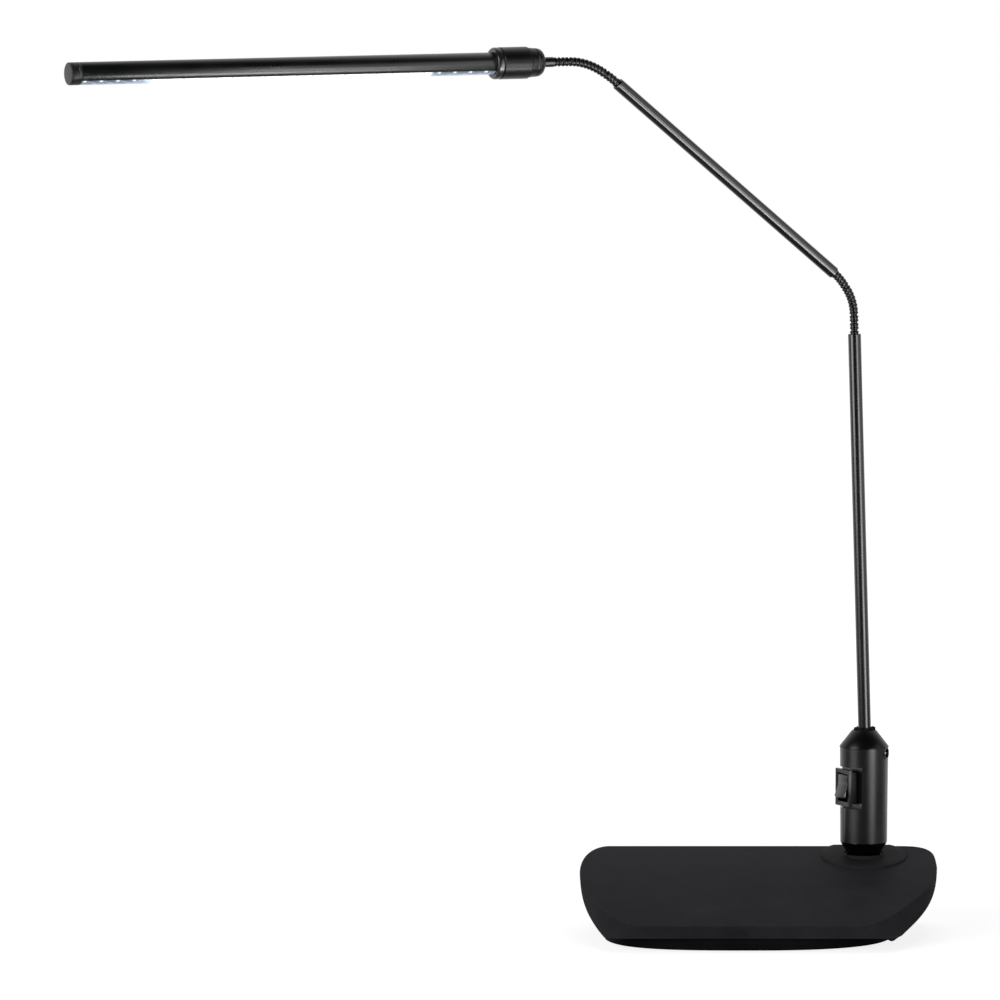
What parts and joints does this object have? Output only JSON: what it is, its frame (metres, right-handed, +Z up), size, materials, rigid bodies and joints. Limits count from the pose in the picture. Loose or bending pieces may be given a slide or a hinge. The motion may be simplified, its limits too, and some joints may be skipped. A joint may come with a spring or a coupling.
{
  "type": "desk lamp",
  "caption": "Folding desk lamp: slim tube head on a friction collar, arm between two ribbed flexible necks, pole with switch housing that swivels on a weighted wedge base.",
  "frame": {"origin": "on the desk plane under the middle of the base", "axes": "+Z up; +X along the base's long side, towards the stem; the base's low front edge faces -Y"},
  "size_m": [0.5105, 0.2574, 0.5336],
  "materials": {
    "base_plastic": "fine texture",
    "tray_plastic": "matt",
    "ballast_iron": "as cast",
    "zinc_steel": "zinc plated",
    "spring_steel": "plain",
    "foot_rubber": "matt",
    "bearing_plastic": "smooth",
    "cone_plastic": "high gloss",
    "stem_paint": "satin black",
    "gland_rubber": "matt",
    "pole_paint": "semi-gloss black",
    "switch_plastic": "semi-gloss",
    "switch_inner": "matt",
    "contact_brass": "plain",
    "inlet_plastic": "semi-gloss",
    "contact_nickel": "nickel plated",
    "board_green": "solder mask",
    "component_black": "matt",
    "neck_metal": "semi-gloss black",
    "collar_paint": "satin black",
    "tube_paint": "semi-gloss black",
    "board_white": "white solder mask",
    "led_phosphor": "moulded",
    "lens_clear": "clear",
    "end_plastic": "satin"
  },
  "bodies": {
    "base": {"base_shell": "base_plastic", "base_tray": "tray_plastic", "ballast_weight": "ballast_iron", "ballast_screws": "zinc_steel", "base_screws": "zinc_steel", "rubber_feet": "foot_rubber", "swivel_bush": "bearing_plastic", "friction_washer": "spring_steel"},
    "stem": {"swivel_spindle": "zinc_steel", "spindle_nut": "zinc_steel", "lower_cone": "cone_plastic", "stem_housing": "stem_paint", "upper_cone": "stem_paint", "pole_gland": "gland_rubber", "pole_nut": "zinc_steel", "pole": "pole_paint", "switch_frame": "switch_plastic", "switch_body": "switch_inner", "switch_terminals": "contact_brass", "power_inlet": "inlet_plastic", "inlet_pin": "contact_nickel", "driver_board": "board_green", "driver_parts": "component_black", "low_neck_root": "neck_metal"},
    "rocker": {"rocker": "switch_plastic"},
    "low_link_1": {"low_neck_1": "neck_metal"},
    "low_link_2": {"low_neck_2": "neck_metal"},
    "low_link_3": {"low_neck_3": "neck_metal", "low_neck_4": "neck_metal", "low_neck_5": "neck_metal", "low_neck_6": "neck_metal"},
    "arm": {"low_neck_7": "neck_metal", "low_neck_8": "neck_metal", "low_neck_tip": "neck_metal", "arm_tube": "pole_paint", "up_neck_root": "neck_metal", "up_neck_1": "neck_metal"},
    "up_link_1": {"up_neck_2": "neck_metal", "up_neck_3": "neck_metal", "up_neck_4": "neck_metal", "up_neck_5": "neck_metal", "up_neck_6": "neck_metal"},
    "up_link_2": {"up_neck_7": "neck_metal"},
    "up_link_3": {"up_neck_8": "neck_metal"},
    "collar": {"up_neck_tip": "neck_metal", "neck_ferrule": "pole_paint", "rear_cap": "collar_paint", "collar_sleeve": "collar_paint", "friction_bush": "bearing_plastic", "wave_washer": "spring_steel"},
    "head": {"front_ring": "collar_paint", "tube_plug": "bearing_plastic", "spindle_clip": "spring_steel", "lamp_tube": "tube_paint", "led_board": "board_white", "leds": "led_phosphor", "lens": "lens_clear", "end_cap": "end_plastic"}
  },
  "joints": [
    {"name": "stem_swivel", "type": "hinge", "parent": "base", "child": "stem", "pos_m": [0.065, 0.04415, 0.0428], "axis": [0, 0, 1], "range_deg": [-116.5, 153.5]},
    {"name": "rocker_tilt", "type": "hinge", "parent": "stem", "child": "rocker", "pos_m": [0.05587, 0.0396, 0.085], "axis": [0.4462, -0.8949, 0], "range_deg": [0, 24]},
    {"name": "low_sway_1", "type": "hinge", "parent": "stem", "child": "low_link_1", "pos_m": [0.05771, 0.04052, 0.36267], "axis": [-0.8944, -0.4459, -0.0349], "range_deg": [-12, 12]},
    {"name": "low_sway_2", "type": "hinge", "parent": "low_link_1", "child": "low_link_2", "pos_m": [0.05757, 0.04044, 0.36728], "axis": [-0.8944, -0.4459, -0.0349], "range_deg": [-12, 12]},
    {"name": "low_bend_1", "type": "hinge", "parent": "low_link_2", "child": "low_link_3", "pos_m": [0.05742, 0.04037, 0.3719], "axis": [0.4462, -0.8949, 0], "range_deg": [-25.1, 19.9]},
    {"name": "low_bend_2", "type": "hinge", "parent": "low_link_3", "child": "arm", "pos_m": [0.05192, 0.03763, 0.38898], "axis": [0.4462, -0.8949, 0], "range_deg": [-25.1, 19.9]},
    {"name": "up_bend_1", "type": "hinge", "parent": "arm", "child": "up_link_1", "pos_m": [-0.09431, -0.03528, 0.5176], "axis": [0.4462, -0.8949, 0], "range_deg": [-19.45, 25.55]},
    {"name": "up_bend_2", "type": "hinge", "parent": "up_link_1", "child": "up_link_2", "pos_m": [-0.11587, -0.04603, 0.5247], "axis": [0.4462, -0.8949, 0], "range_deg": [-19.45, 25.55]},
    {"name": "up_sway_1", "type": "hinge", "parent": "up_link_2", "child": "up_link_3", "pos_m": [-0.12043, -0.0483, 0.5246], "axis": [0.0172, 0.0086, -0.9998], "range_deg": [-12, 12]},
    {"name": "up_sway_2", "type": "hinge", "parent": "up_link_3", "child": "collar", "pos_m": [-0.12272, -0.04944, 0.52455], "axis": [0.0172, 0.0086, -0.9998], "range_deg": [-12, 12]},
    {"name": "head_roll", "type": "hinge", "parent": "collar", "child": "head", "pos_m": [-0.15712, -0.0666, 0.52381], "axis": [-0.8948, -0.4461, -0.0192], "range_deg": [-120, 120]}
  ],
  "couplings": [
    {"joint": "low_sway_2", "follows": "low_sway_1", "ratio": 1},
    {"joint": "low_bend_2", "follows": "low_bend_1", "ratio": 1},
    {"joint": "up_bend_2", "follows": "up_bend_1", "ratio": 1},
    {"joint": "up_sway_2", "follows": "up_sway_1", "ratio": 1}
  ]
}
